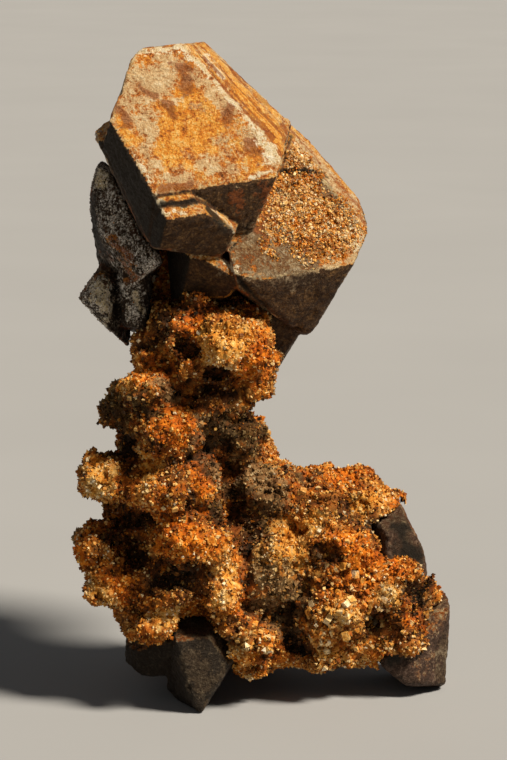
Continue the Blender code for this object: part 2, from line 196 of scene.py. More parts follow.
HEAD_LEDGES = ((0.3, (208, 57), (221, 75)), (0.35, (262, 96), (280, 118), (296, 138)))
# pale patches; the first stroke is a painted sheen
SIDE_PALE_AND_SHEEN = (
    (0.5, (98, 170), (103, 182)), (0.8, (96, 286), (104, 300), (110, 310)),
    (0.25, (134, 292), (142, 312)), (0.25, (84, 290), (88, 300)),
)
SIDE_SALT = (
    (1.2, (108, 208), (124, 226), (140, 250), (150, 264)), (0.8, (98, 176), (104, 188), (110, 204)),
    (1.1, (92, 290), (104, 304)), (0.7, (130, 286), (136, 312)),
)
SIDE_RUST = (
    (0.6, (112, 240), (120, 250), (132, 260)), (0.7, (126, 266), (130, 278), (138, 276)),
    (0.5, (84, 286), (92, 279), (98, 274)),
)
SIDE_STAIN = (
    (0.3, (112, 240), (120, 250), (132, 260)), (0.4, (126, 266), (130, 278), (138, 276)),
    (0.25, (84, 286), (92, 279), (98, 274)),
)
# painted shadow on the side crystals' shaded faces
SIDE_SHADOWS = ((0.9, (94, 200), (94, 226), (100, 246)), (0.6, (114, 288), (120, 308)))
SIDE_STROKES = {
    "pale": SIDE_PALE_AND_SHEEN, "salt": SIDE_SALT, "orange": SIDE_RUST, "stain": SIDE_STAIN,
    "dark": SIDE_SHADOWS,
}
FOOT_RUST = ((0.9, (134, 650), (146, 658)), (0.5, (176, 636), (190, 640)))
FOOT_PALE = ((1.2, (196, 660), (204, 680)),)
ARM_RUST = (
    (1.0, (396, 676), (420, 668), (432, 660)), (1.1, (404, 682), (436, 688)),
    (0.6, (444, 616), (432, 634)),
)
ARM_PALE = ((0.8, (446, 640), (446, 680)), (0.8, (402, 520), (412, 560)))
# painted shadow in the hollows of the arm crystals
ARM_SHADOWS = (
    (0.6, (396, 526), (404, 532)), (0.8, (400, 548), (418, 554)), (0.7, (378, 648), (392, 660)),
)
# cream patches; the first stroke, on the neck lump, is a painted highlight
ROCK_CREAM_AND_HIGHLIGHT = (
    (1.0, (232, 324), (242, 338)), (1.2, (222, 334), (208, 350), (232, 356)),
    (1.1, (118, 384), (130, 378)), (1.0, (92, 466), (104, 478), (92, 490)),
    (1.0, (140, 452), (150, 470), (144, 490)), (0.9, (226, 572), (232, 586), (222, 602)),
    (1.5, (284, 536), (292, 552), (278, 566)), (1.1, (300, 562), (298, 576)),
    (1.0, (384, 590), (394, 596)), (0.8, (350, 600), (342, 616)), (0.9, (322, 644), (334, 658)),
    (0.9, (364, 500), (380, 492)), (0.8, (96, 586), (104, 596)), (0.8, (164, 616), (172, 610)),
    (0.7, (304, 524), (330, 518)),
)
ROCK_GREY = (
    (1.2, (212, 424), (218, 440)), (1.7, (252, 470), (270, 484), (274, 500)),
    (0.9, (212, 470), (216, 500)), (1.5, (264, 574), (282, 584), (292, 598)),
    (1.3, (262, 606), (288, 618)), (0.7, (160, 384), (172, 396)), (1.0, (286, 454), (300, 476)),
    (0.8, (188, 456), (196, 440)),
)
ROCK_OLIVE = (
    (1.5, (106, 398), (110, 414), (122, 420)), (1.7, (238, 430), (252, 434), (262, 430)),
    (1.0, (228, 488), (240, 494)), (0.9, (138, 402), (150, 410)), (0.8, (214, 512), (222, 520)),
)
ROCK_BROWN = (
    (1.4, (126, 318), (140, 330), (150, 345)), (1.3, (150, 312), (166, 322)),
    (1.5, (118, 350), (140, 344), (160, 330)), (1.4, (150, 402), (162, 430), (150, 446)),
    (1.3, (180, 470), (196, 490)), (1.5, (84, 560), (96, 574), (120, 600)),
    (1.6, (140, 560), (156, 576), (190, 588)), (1.3, (110, 450), (124, 440)),
    (1.3, (300, 640), (340, 668), (380, 664)), (1.6, (318, 494), (344, 510), (366, 520)),
    (1.3, (396, 600), (410, 630)), (1.5, (410, 584), (424, 598), (434, 612)),
    (1.2, (400, 622), (420, 640)), (1.2, (230, 400), (222, 412)), (1.2, (196, 620), (230, 624)),
    (1.2, (264, 520), (258, 550)), (1.2, (202, 380), (206, 400)),
)
ROCK_ORANGE = (
    (1.3, (260, 348), (262, 362), (240, 374)), (1.2, (188, 318), (200, 326)),
    (1.8, (172, 420), (190, 440), (200, 456)), (1.3, (140, 370), (156, 378)),
    (1.2, (74, 538), (80, 552)), (1.1, (110, 584), (124, 592)),
    (1.6, (168, 520), (190, 540), (170, 552)), (1.3, (240, 566), (248, 586), (238, 600)),
    (1.5, (350, 548), (370, 560), (392, 576)), (1.3, (344, 544), (356, 552)),
    (1.2, (212, 492), (206, 480)), (1.2, (330, 480), (350, 474)), (1.3, (242, 360), (250, 346)),
    (1.0, (408, 612), (424, 620)),
)
# hollows, sunk into the rock and painted with shade
ROCK_SHADED_HOLLOWS = (
    (1.2, (216, 374), (228, 376)), (0.9, (178, 346), (184, 352)),
    (1.0, (142, 348), (154, 337), (166, 328)), (1.0, (110, 530), (126, 526), (146, 518)),
    (0.8, (120, 546), (134, 556)), (1.3, (242, 520), (256, 530), (246, 542)),
    (1.1, (316, 556), (334, 560)), (1.0, (348, 502), (372, 524)), (0.8, (148, 588), (160, 580)),
    (0.9, (192, 506), (196, 502)), (1.2, (186, 300), (176, 310), (160, 320)),
    (1.0, (208, 638), (224, 644)), (1.1, (368, 624), (380, 632)), (1.0, (292, 640), (304, 650)),
    (1.3, (420, 590), (434, 602)), (1.1, (124, 436), (132, 444)), (0.9, (172, 578), (196, 572)),
)
BLOCK_PLACES = (
    (1.4, (343, 609), (321, 625), (330, 651)), (1.2, (300, 590), (306, 612)),
    (1.2, (366, 600), (376, 618)), (1.0, (340, 570), (352, 580)), (0.9, (250, 640), (268, 646)),
)
ROCK_REGIONS = {
    "brown": ROCK_BROWN, "orange": ROCK_ORANGE, "cream": ROCK_CREAM_AND_HIGHLIGHT, "grey": ROCK_GREY,
    "olive": ROCK_OLIVE,
}


def line_of_sight(u, v):
    """The direction from the eye through a pixel of the photograph."""
    half = PHOTO_SIZE[1] / 2
    reach = SENSOR / 2 / LENS
    across = (u - PHOTO_SIZE[0] / 2) / half * reach
    upward = (half - v) / half * reach
    return (RIGHT * across + UP * upward - BACK).normalized()


def on_surface(tree, u, v):
    """The point of a surface that a pixel shows, or None."""
    return tree.ray_cast(EYE, line_of_sight(u, v))[0]


def distance_to_route(points, route):
    """Distance from each point to a line through the given places."""
    if len(route) == 1:
        route = route * 2
    best = np.full(len(points), np.inf)
    for start, end in zip(route[:-1], route[1:]):
        along = end - start
        squared = max(float(along @ along), TINY ** 2)
        t = np.clip((points - start) @ along / squared, 0.0, 1.0)
        gap = np.linalg.norm(points - start - t[:, None] * along, axis=1)
        best = np.minimum(best, gap)
    return best


def painted(points, strokes, tree, bend, soft=0.5):
    """How far inside some strokes each point is: 1 in the middle, 0 outside."""
    amount = np.zeros(len(points))
    for width, *pixels in strokes:
        seen = [on_surface(tree, u, v) for u, v in pixels]
        route = [np.array(place) for place in seen if place is not None]
        if not route:
            continue
        bent = points + bend * (min(width, 1.0) * MM)
        inside = 1.0 + soft - distance_to_route(bent, route) / (width * MM)
        amount = np.maximum(amount, np.clip(inside / soft / 2.0, 0.0, 1.0))
    return amount


def bending(points, size, seed):
    """A small shift for each point that makes straight borders ragged."""
    return np.stack([cloud(points, size, 4, seed + shift) for shift in (0.0, 17.0, 34.0)], 1)


def cloud(points, size, octaves, seed):
    """Smooth noise of about -1 to 1; size is the width of its biggest lumps in mm."""
    places = (points / (size * MM) + seed).tolist()
    return np.array([noise.fractal(place, 1.0, 2.0, octaves) for place in places])


def smooth_step(value, low, high):
    """0 below low, 1 above high, smooth between."""
    t = np.clip((value - low) / (high - low), 0.0, 1.0)
    return t * t * (3.0 - 2.0 * t)


def beside(gap, reach):
    """1 at a gap of 0, falling off smoothly over the reach."""
    return np.exp(-(gap / reach) ** 2)


def unit(rows):
    """Directions at a length of 1."""
    return rows / np.maximum(np.linalg.norm(rows, axis=1)[:, None], TINY)


def gathered(items, key, width, kind=float):
    """One property of all the vertices, edges or triangles of a mesh, a row for each."""
    flat = np.empty(len(items) * width, dtype=kind)
    items.foreach_get(key, flat)
    return flat.reshape(-1, width)


def points_of(mesh):
    """A mesh's vertices."""
    return gathered(mesh.vertices, "co", 3)


def normals_of(mesh):
    """The direction of a mesh's surface at each vertex."""
    return gathered(mesh.vertex_normals, "vector", 3)


def move_points(mesh, points):
    """Put a mesh's vertices at new places."""
    mesh.vertices.foreach_set("co", points.ravel())
    mesh.update()


def move_above_ground(mesh, points):
    """Put a mesh's vertices at new places, with none of them under the ground."""
    points[:, 2] = np.maximum(points[:, 2], 0.0)
    move_points(mesh, points)


def placed(name, data):
    """A new object in the scene."""
    obj = bpy.data.objects.new(name, data)
    bpy.context.scene.collection.objects.link(obj)
    return obj


def relaxed(mesh, points, weight, rounds):
    """Each point drawn towards the middle of its neighbours by its own weight."""
    count = len(points)
    first, second = gathered(mesh.edges, "vertices", 2, np.int32).T
    neighbours = np.bincount(first, minlength=count) + np.bincount(second, minlength=count)
    points = points.copy()
    for _ in range(rounds):
        middle = np.empty_like(points)
        for axis in range(3):
            column = points[:, axis]
            total = np.bincount(first, column[second], count)
            total += np.bincount(second, column[first], count)
            middle[:, axis] = total / neighbours
        points += (middle - points) * weight[:, None]
    return points


def keep_biggest_part(mesh):
    """Delete the loose crumbs that a fine skin leaves beside a thin wall."""
    bm = bmesh.new()
    bm.from_mesh(mesh)
    unseen = set(bm.verts)
    biggest = set()
    while unseen:
        front = [unseen.pop()]
        part = set(front)
        while front:
            vert = front.pop()
            near = {edge.other_vert(vert) for edge in vert.link_edges} & unseen
            unseen -= near
            part |= near
            front.extend(near)
        if len(part) > len(biggest):
            biggest = part
    crumbs = [vert for vert in bm.verts if vert not in biggest]
    bmesh.ops.delete(bm, geom=crumbs, context='VERTS')
    bm.to_mesh(mesh)
    bm.free()


def fine_skin(name, node, voxel):
    """A copy of a CAD solid as one evenly fine skin."""
    obj = placed(name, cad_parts[node].data.copy())
    modifier = obj.modifiers.new("fine", 'REMESH')
    modifier.mode = 'VOXEL'
    modifier.voxel_size = voxel * MM
    graph = bpy.context.evaluated_depsgraph_get()
    finished = bpy.data.meshes.new_from_object(obj.evaluated_get(graph))
    obj.modifiers.clear()
    keep_biggest_part(finished)
    obj.data = finished
    obj.data.materials.clear()
    return obj


class Solid:
    """A CAD solid's surface, its ridges, its keen ridges and its creases."""

    def __init__(self, node):
        bm = bmesh.new()
        bm.from_mesh(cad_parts[node].data)
        bmesh.ops.remove_doubles(bm, verts=bm.verts[:], dist=TINY)
        bmesh.ops.triangulate(bm, faces=bm.faces[:])
        bm.normal_update()
        self.tree = BVHTree.FromBMesh(bm)
        ridges, keen, creases = [], [], []
        for edge in bm.edges:
            if len(edge.link_faces) != 2:
                continue
            angle = edge.calc_face_angle_signed(0.0)
            if abs(angle) < SHARP_ANGLE:
                continue
            start, end = edge.verts[0].co, edge.verts[1].co
            steps = max(1, int((end - start).length / (EDGE_STEP * MM)))
            spots = [start.lerp(end, i / steps) for i in range(steps + 1)]
            (ridges if angle > 0.0 else creases).extend(spots)
            if angle > KEEN_ANGLE:
                keen.extend(spots)
        bm.free()
        self.ridges = self.index(ridges)
        self.keen = self.index(keen)
        self.creases = self.index(creases)

    @staticmethod
    def index(spots):
        """A tree that finds the nearest of some spots."""
        tree = KDTree(max(1, len(spots)))
        for number, spot in enumerate(spots):
            tree.insert(spot, number)
        if not spots:
            tree.insert(FAR_OFF, 0)
        tree.balance()
        return tree

    def feet(self, points):
        """The nearest points of the surface and its direction there."""
        found = [self.tree.find_nearest(p) for p in points.tolist()]
        places = np.array([hit[0] for hit in found])
        outward = np.array([hit[1] for hit in found])
        return places, outward

    @staticmethod
    def gaps(tree, points):
        """Distance in mm from each point to the nearest spot of a tree."""
        return np.array([tree.find(p)[2] for p in points.tolist()]) / MM


def store(mesh, name, values):
    """Keep one number a vertex on the mesh for the material."""
    layer = mesh.attributes.new(name, 'FLOAT', 'POINT')
    layer.data.foreach_set("value", np.ascontiguousarray(values, dtype=np.float32))


def srgb(red, green, blue):
    """A colour as the eye names it, 0 to 255, in the light that materials work with."""
    channels = [c / 255.0 for c in (red, green, blue)]
    linear = [c / 12.92 if c <= 0.04045 else ((c + 0.055) / 1.055) ** 2.4 for c in channels]
    return (*linear, 1.0)


def direction(bearing, tilt):
    """The outward direction of a face by its bearing and tilt in degrees."""
    b, t = math.radians(bearing), math.radians(tilt)
    return np.array([math.sin(b) * math.cos(t), -math.cos(b) * math.cos(t), math.sin(t)])


# faces of the two big crystals, DARK_SIDE being the shaded side that gets painted shadow, and the two ways
# along the striated one
BROAD = direction(20, 31)
STRIATED = direction(63, 44)
DARK_SIDE = direction(-51, -13)
BAND_LENGTH = np.cross(BROAD, STRIATED)
BAND_LENGTH /= np.linalg.norm(BAND_LENGTH)
BAND_ACROSS = np.cross(STRIATED, BAND_LENGTH)


class Look:
    """A material and short calls that add nodes to it."""

    def __init__(self, name):
        self.material = bpy.data.materials.new(name)
        self.material.use_nodes = True
        self.tree = self.material.node_tree
        self.shader = self.tree.nodes["Principled BSDF"]
        where = self.add("TexCoord").outputs["Object"]
        scaled = self.add("VectorMath", {0: where, 3: 1.0 / MM}, operation='SCALE')
        self.where = scaled.outputs[0]

    def add(self, kind, sockets=(), **settings):
        """A shader node with its settings, and its inputs set or linked."""
        node = self.tree.nodes.new("ShaderNode" + kind)
        for key, value in settings.items():
            setattr(node, key, value)
        for key, value in dict(sockets).items():
            self.put(node.inputs[key], value)
        return node

    def put(self, socket, value):
        """Set one input, or link it."""
        if isinstance(value, bpy.types.NodeSocket):
            self.tree.links.new(value, socket)
        else:
            socket.default_value = value

    def mottle(self, size, detail=4.0, rough=0.6, twist=0.0, seed=0.0):
        """Noise of 0 to 1 whose lumps are about size mm wide."""
        numbers = {
            "Vector": self.where, "W": seed, "Scale": 1.0 / size,
            "Detail": detail, "Roughness": rough, "Distortion": twist,
        }
        return self.add("TexNoise", numbers, noise_dimensions='4D').outputs["Fac"]

    def streaks(self, width, stretch):
        """Noise drawn out along the length of the striated face."""
        aligned = [
            self.add("VectorMath", {0: self.where, 1: way}, operation='DOT_PRODUCT')
            for way in (BAND_ACROSS, BAND_LENGTH / stretch, STRIATED)
        ]
        parts = {axis: node.outputs["Value"] for axis, node in enumerate(aligned)}
        place = self.add("CombineXYZ", parts).outputs[0]
        numbers = {"Vector": place, "Scale": 1.0 / width, "Detail": 3.0}
        return self.add("TexNoise", numbers).outputs["Fac"]

    def kept(self, name):
        """A number stored on the mesh."""
        return self.add("Attribute", attribute_name=name).outputs["Fac"]

    def maths(self, operation, first, second=0.0):
        """One step of arithmetic."""
        return self.add("Math", {0: first, 1: second}, operation=operation).outputs[0]

    def blended(self, *parts):
        """A sum of values, each with its weight."""
        total = None
        for weight, value in parts:
            weighted = self.maths('MULTIPLY', value, weight)
            total = weighted if total is None else self.maths('ADD', total, weighted)
        return total

    def centred(self, value):
        """A noise moved to lie around zero."""
        return self.maths('SUBTRACT', value, 0.5)

    def shaded(self, colour, amount):
        """A colour made darker or lighter by a value around 1."""
        grey = self.add("CombineColor", {0: amount, 1: amount, 2: amount})
        return self.mix(1.0, colour, grey.outputs[0], 'MULTIPLY')

    def band(self, value, low, high, floor=0.0, top=1.0):
        """Smooth change from floor to top as a value goes from low to high."""
        numbers = {
            "Value": value, "From Min": low, "From Max": high, "To Min": floor, "To Max": top,
        }
        return self.add("MapRange", numbers, interpolation_type='SMOOTHSTEP').outputs["Result"]

    def ramp(self, value, stops):
        """Colours along a value."""
        node = self.add("ValToRGB", {"Fac": value})
        elements = node.color_ramp.elements
        while len(elements) < len(stops):
            elements.new(0.5)
        for element, (place, colour) in zip(elements, stops):
            element.position = place
            element.color = colour
        return node.outputs["Color"]

    def mix(self, amount, under, over, blend='MIX'):
        """One colour over another."""
        sockets = {0: amount, 6: under, 7: over}
        return self.add("Mix", sockets, data_type='RGBA', blend_type=blend).outputs[2]

    def bump(self, height, depth):
        """A fine relief on top of the geometry, depth in mm."""
        numbers = {"Height": height, "Strength": 1.0, "Distance": depth * MM}
        node = self.add("Bump", numbers)
        self.put(self.shader.inputs["Normal"], node.outputs["Normal"])

    def coat(self, colour, roughness):
        """Link the finished colour and roughness."""
        self.put(self.shader.inputs["Base Color"], colour)
        self.put(self.shader.inputs["Roughness"], roughness)
        return self.material


# colours as red, green and blue of 0 to 255
BLACK = (15, 10, 7)
DARK_BROWN = (38, 22, 11)
RUST_BROWN = (88, 44, 14)
MAROON = (116, 58, 24)
RUST = (142, 72, 20)
AMBER = (188, 106, 16)
SAND = (192, 150, 84)
CREAM = (210, 186, 138)
WHITE = (226, 214, 188)
GREY = (140, 122, 96)
BRIGHT_STRIPE = (224, 172, 88)
DARK_STRIPE = (132, 66, 28)


def palette(*stops):
    """Colours along a value, each stop as its place and its red, green and blue."""
    return tuple((place, srgb(*colour)) for place, *colour in stops)


# along a noise of 0 to 1 with most of its values between 0.3 and 0.7
# the head's body is dark partly as painted shade on its faces that look down
TAN_BODY = palette((0.3, 26, 14, 5), (0.44, 48, 29, 11), (0.56, 72, 47, 20), (0.72, 116, 84, 44))
DARK_BODY = palette((0.3, 9, 7, 5), (0.46, 20, 16, 12), (0.56, 58, 51, 42), (0.68, 160, 150, 134))
# the foot's body is dark partly as painted shade
FOOT_BODY = palette((0.3, 14, 11, 9), (0.44, 28, 23, 18), (0.56, 44, 38, 31), (0.72, 76, 68, 56))
ARM_BODY = palette((0.3, 32, 20, 15), (0.44, 66, 46, 37), (0.56, 96, 72, 60), (0.72, 146, 122, 106))
RUSTY = palette(
    (0.26, 116, 58, 20), (0.36, 166, 90, 28), (0.44, 196, 114, 36),
    (0.53, 208, 144, 60), (0.62, 216, 174, 104), (0.76, 230, 206, 160),
)
CRUSTED = palette(
    (0.26, *DARK_BROWN), (0.36, *RUST_BROWN), (0.46, *RUST),
    (0.54, *AMBER), (0.62, *GREY), (0.74, *CREAM),
)
YELLOW = palette((0.28, 164, 84, 22), (0.42, 204, 118, 20), (0.56, 222, 154, 52), (0.74, 228, 188, 112))
DUSTY = palette((0.22, 142, 108, 70), (0.4, 180, 148, 104), (0.56, 202, 174, 130), (0.78, 224, 206, 172))
# salt and pepper specks; their brightest whites are partly painted glints
SALT_AND_GLINTS = palette((0.42, 12, 9, 7), (0.5, 64, 58, 48), (0.56, 168, 160, 146), (0.66, 244, 238, 226))
GREYED = palette((0.28, 38, 27, 17), (0.42, 68, 52, 35), (0.56, 100, 82, 60), (0.74, 148, 132, 106))
STAINED = palette((0.3, *DARK_BROWN), (0.45, *MAROON), (0.62, *RUST))
BLEACHED = palette((0.22, *SAND), (0.38, *CREAM), (0.54, 222, 206, 172), (0.72, 236, 226, 204))

# what lies over a crystal's body, from below to above: its name, how well it covers, its colours
CRYSTAL_LAYERS = (
    ("crust", 0.95, CRUSTED),
    ("orange", 0.8, YELLOW),
    ("dusty", 0.85, DUSTY),
    ("salt", 0.95, SALT_AND_GLINTS),
    ("grey", 0.85, GREYED),
    ("stain", 0.8, STAINED),
    ("pale", 0.95, BLEACHED),
)
# the last name is for the painted shade, which goes over all the layers
LAYER_NAMES = tuple(layer[0] for layer in CRYSTAL_LAYERS) + ("dark",)

# along the tone of the rock and its grains
ROCK_COLOURS = palette(
    (0.06, *BLACK), (0.16, *DARK_BROWN), (0.28, 98, 48, 12), (0.41, 150, 74, 14),
    (0.54, 188, 106, 22), (0.67, 208, 148, 62), (0.8, 220, 180, 112), (0.93, 230, 208, 162),
)
ROCK_TAN = palette(
    (0.1, *BLACK), (0.24, *DARK_BROWN), (0.38, 96, 62, 28),
    (0.52, 150, 106, 50), (0.68, 194, 148, 82), (0.88, 222, 194, 146),
)
REGION_COLOURS = {
    "salt": palette((0.2, 26, 22, 17), (0.45, 112, 106, 94), (0.66, 196, 190, 178), (0.84, 240, 236, 228)),
    "brown": palette(
        (0.12, *BLACK), (0.3, *DARK_BROWN), (0.46, 84, 46, 18),
        (0.64, 150, 88, 30), (0.84, 206, 160, 92),
    ),
    "orange": palette(
        (0.1, *DARK_BROWN), (0.24, *RUST_BROWN), (0.4, 170, 80, 10),
        (0.58, 208, 118, 18), (0.8, 226, 174, 88),
    ),
    "cream": palette(
        (0.1, *RUST_BROWN), (0.28, *AMBER), (0.46, 206, 150, 66),
        (0.64, 216, 184, 122), (0.86, *WHITE),
    ),
    "grey": palette((0.2, 40, 28, 16), (0.42, 90, 68, 42), (0.62, 128, 102, 68), (0.86, 176, 154, 118)),
    "olive": palette((0.2, 17, 11, 5), (0.45, 40, 28, 14), (0.66, 64, 48, 25), (0.86, 112, 92, 54)),
}

# how the surfaces shine
CRYSTAL_ROUGHNESS = (0.45, 0.75)
CRYSTAL_SHEEN = (1.0, 0.86, 0.68, 1.0)
ROCK_SHEEN = (1.0, 0.78, 0.5, 1.0)


def crystal_look(name, body, rust_share, edge_share, light=1.0):
    """Crystal skin: a grey or tan body under mottled rust, pale worn edges that are partly a painted
    highlight, painted shadow on shaded faces and in cracks, and painted shade in the creases.
    """
    look = Look(name)
    wide = look.centred(look.mottle(4.5, 5.0, 0.62, 0.6))
    middle = look.centred(look.mottle(1.1, 6.0, 0.7, 0.4))
    flecks = look.centred(look.mottle(0.5, 5.0, 0.75, 1.0, 3.0))
    small = look.centred(look.mottle(0.22, 4.0, 0.75))
    fine = look.mottle(0.1, 3.0, 0.7)
    ragged = look.blended((1.0, middle), (0.9, flecks), (0.6, small))
    blend = look.maths('ADD', look.blended((0.8, middle), (0.9, flecks), (1.2, small)), 0.5)

    # the body and its grey specks
    colour = look.ramp(blend, body)
    specks = look.band(look.blended((1.0, flecks), (1.0, small)), 0.1, 0.26, 0.0, 0.3)
    colour = look.mix(specks, colour, srgb(*GREY))

    # rust with yellow and dusty patches and a net of thin dark lines, on the faces that look up; the
    # darker body left on the faces that look down is partly painted shade
    rusty = look.ramp(blend, RUSTY)
    for size, seed, stops in ((1.6, 5.0, YELLOW), (1.3, 8.0, DUSTY)):
        patch = look.blended((1.0, look.mottle(size, 6.0, 0.75, 0.6, seed)), (0.8, small))
        rusty = look.mix(look.band(patch, 0.5, 0.6, 0.0, 0.8), rusty, look.ramp(blend, stops))
    contour = look.maths('ABSOLUTE', look.centred(look.mottle(1.2, 5.0, 0.7, 1.5, 11.0)))
    broken = look.band(flecks, -0.06, 0.08, 0.0, 0.85)
    veins = look.maths('MULTIPLY', look.band(contour, 0.02, 0.0), broken)
    rusty = look.mix(veins, rusty, srgb(*RUST_BROWN))
    share = look.blended((1.0, look.kept("rust_and_top_light")), (1.6, wide), (1.2, ragged))
    colour = look.mix(look.band(share, 0.3, 0.8, 0.0, rust_share), colour, rusty)

    # the layers in their places
    for kind, top, stops in CRYSTAL_LAYERS:
        amount = look.blended((1.0, look.kept(kind)), (3.2, ragged))
        present = look.band(look.kept(kind), 0.0, 0.3)
        shown = look.maths('MULTIPLY', look.band(amount, 0.33, 0.67, 0.0, top), present)
        colour = look.mix(shown, colour, look.ramp(blend, stops))

    # light and dark stripes, pale worn edges that are partly a painted highlight, painted shadow in dark
    # places and cracks, and painted shade in the creases
    streaks = look.centred(look.streaks(width=0.16, stretch=30.0))
    lines = look.blended((1.0, look.kept("lines")), (1.6, streaks))
    lines = look.maths('MULTIPLY', look.blended((1.0, lines), (0.8, flecks)), look.kept("striated"))
    colour = look.mix(look.band(lines, 0.06, 0.34, 0.0, 0.45), colour, srgb(*BRIGHT_STRIPE))
    colour = look.mix(look.band(lines, 0.04, -0.24, 0.0, 0.75), colour, srgb(*DARK_STRIPE))
    worn_and_lit_edge = look.blended((1.0, look.kept("edge")), (1.6, ragged))
    colour = look.mix(look.band(worn_and_lit_edge, 0.45, 1.1, 0.0, edge_share), colour, srgb(*CREAM))
    # painted shadow in near black: the shaded side, the shadow strokes and the cracks
    dark = look.blended((1.0, look.kept("dark")), (0.9, ragged))
    present = look.band(look.kept("dark"), 0.0, 0.15)
    shown = look.maths('MULTIPLY', look.band(dark, 0.2, 0.85, 0.0, 0.95), present)
    colour = look.mix(shown, colour, srgb(*BLACK))
    # painted shade in the creases
    crease = look.band(look.kept("crease"), 0.2, 1.0, 0.0, 0.85)
    colour = look.mix(crease, colour, srgb(*DARK_BROWN))
    # light below 1 darkens the whole skin: painted shade
    colour = look.shaded(colour, look.band(fine, 0.3, 0.7, 0.75 * light, 1.15 * light))

    look.bump(look.blended((0.4, fine), (1.0, small), (0.8, flecks)), 0.3)
    look.shader.inputs["Specular IOR Level"].default_value = 0.35
    look.shader.inputs["Specular Tint"].default_value = CRYSTAL_SHEEN
    smoothest, roughest = CRYSTAL_ROUGHNESS
    return look.coat(colour, look.band(small, -0.2, 0.2, roughest, smoothest))


def rock_look(name, light, smoothest):
    """Crust and grains: dark rust to cream by each grain's own tone and by region, darkened as painted
    shade in hollows and where little sky is open.
    """
    look = Look(name)
    wide = look.centred(look.mottle(3.2, 4.0, 0.6, 0.5))
    middle = look.centred(look.mottle(0.8, 5.0, 0.75))
    small = look.mottle(0.15, 3.0, 0.7)
    # the stored tone is darker where little sky is open: painted shade
    tone = look.blended((0.75, look.kept("tone")), (0.7, wide), (1.2, middle))
    tone = look.maths('ADD', tone, light)
    colour = look.ramp(tone, ROCK_COLOURS)
    tan = look.band(look.mottle(1.7, 5.0, 0.75, 0.6, 4.0), 0.47, 0.6, 0.0, 0.75)
    colour = look.mix(tan, colour, look.ramp(tone, ROCK_TAN))
    for region, stops in REGION_COLOURS.items():
        amount = look.blended((1.0, look.kept(region)), (1.6, middle))
        colour = look.mix(look.band(amount, 0.25, 0.75, 0.0, 0.9), colour, look.ramp(tone, stops))
    # painted shade in near black, in the hollows and where little sky is open
    colour = look.mix(look.band(look.kept("dark"), 0.0, 1.0, 0.0, 0.93), colour, srgb(*BLACK))
    colour = look.shaded(colour, look.band(small, 0.3, 0.7, 0.6, 1.2))
    look.shader.inputs["Specular IOR Level"].default_value = 0.3
    look.shader.inputs["Specular Tint"].default_value = ROCK_SHEEN
    look.bump(small, 0.06)
    return look.coat(colour, look.band(middle, -0.2, 0.2, smoothest + 0.25, smoothest))


def stripes(points, outward, along):
    """Fine ridges that run one way over a face."""
    across = unit(np.cross(outward, along))
    place = (points * across).sum(1) / MM
    lengthwise = (points @ along) / MM
    sway = sum(far * np.sin(lengthwise * pace + start) for far, pace, start in STRIPE_SWAYS)
    lines = np.stack([place + sway, lengthwise * STRIPE_CHANGE, np.zeros(len(points))], 1)
    thin = np.array([noise.noise(p) for p in (lines * FINE_STRIPES).tolist()])
    thick = np.array([noise.noise(p) for p in (lines * BROAD_STRIPES + 7.0).tolist()])
    return thin + thick


def far_patches(layers, kinds, points, outward, size, seed, slant):
    """Patches of some kinds on faces turned away from the viewer by more than the slant."""
    far = smooth_step(-(outward @ np.array(BACK)), slant, slant + 0.25)
    for number, kind in enumerate(kinds):
        patches = smooth_step(cloud(points, size, 5, seed + 7.0 * number), 0.0, 0.4)
        layers[kind] = np.maximum(layers[kind], 0.8 * far * patches)


def crystal_layers(points, outward, bend, tree, strokes, far_kinds, seed, shadow):
    """How much of each kind of colour lies at each point, with rust on the faces that look up and painted
    shadow on the side turned towards DARK_SIDE.
    """
    layers = {kind: np.zeros(len(points)) for kind in LAYER_NAMES}
    for kind, lines in strokes.items():
        layers[kind] = painted(points, lines, tree, bend, soft=0.7)
    # rust on the faces that look up; the darker body left on the faces that look down is partly painted
    # shade
    layers["rust_and_top_light"] = smooth_step(outward[:, 2], -0.1, 0.5)
    layers["crust"] *= layers["rust_and_top_light"]
    far_patches(layers, far_kinds, points, outward, size=4.0, seed=seed + 60.0, slant=-0.35)
    # painted shadow on the faces turned towards DARK_SIDE, spared under pale and salt patches
    bare = 1.0 - np.maximum(layers["pale"], layers["salt"])
    shadow_side = smooth_step(outward @ DARK_SIDE, 0.8, 0.97) * bare
    layers["dark"] = np.maximum(layers["dark"], shadow * shadow_side)
    return layers


def crystal_relief(points, ridge, crease, crust, lines, seed, roughness):
    """Small lumps, low steps, stripes, chipped edges and grooves, in mm of height."""
    coarse, fine = cloud(points, 1.6, 5, seed), cloud(points, 0.4, 3, seed + 3.0)
    height = roughness * (0.6 * coarse + 1.2 * fine)
    height += STEP_HEIGHT * smooth_step(cloud(points, 2.4, 5, seed + 9.0), 0.02, 0.1)
    height += STRIPE_HEIGHT * lines
    chips = CHIP_DEPTH * np.clip(cloud(points, 0.8, 3, seed + 12.0), 0.0, 1.0)
    height -= beside(ridge, CHIPPED_REACH) * (EDGE_LOSS + chips)
    height -= CREASE_DEPTH * beside(crease, CREASE_REACH)
    height += CRUST_HEIGHT * crust * cloud(points, 0.45, 3, seed + 15.0)
    return height


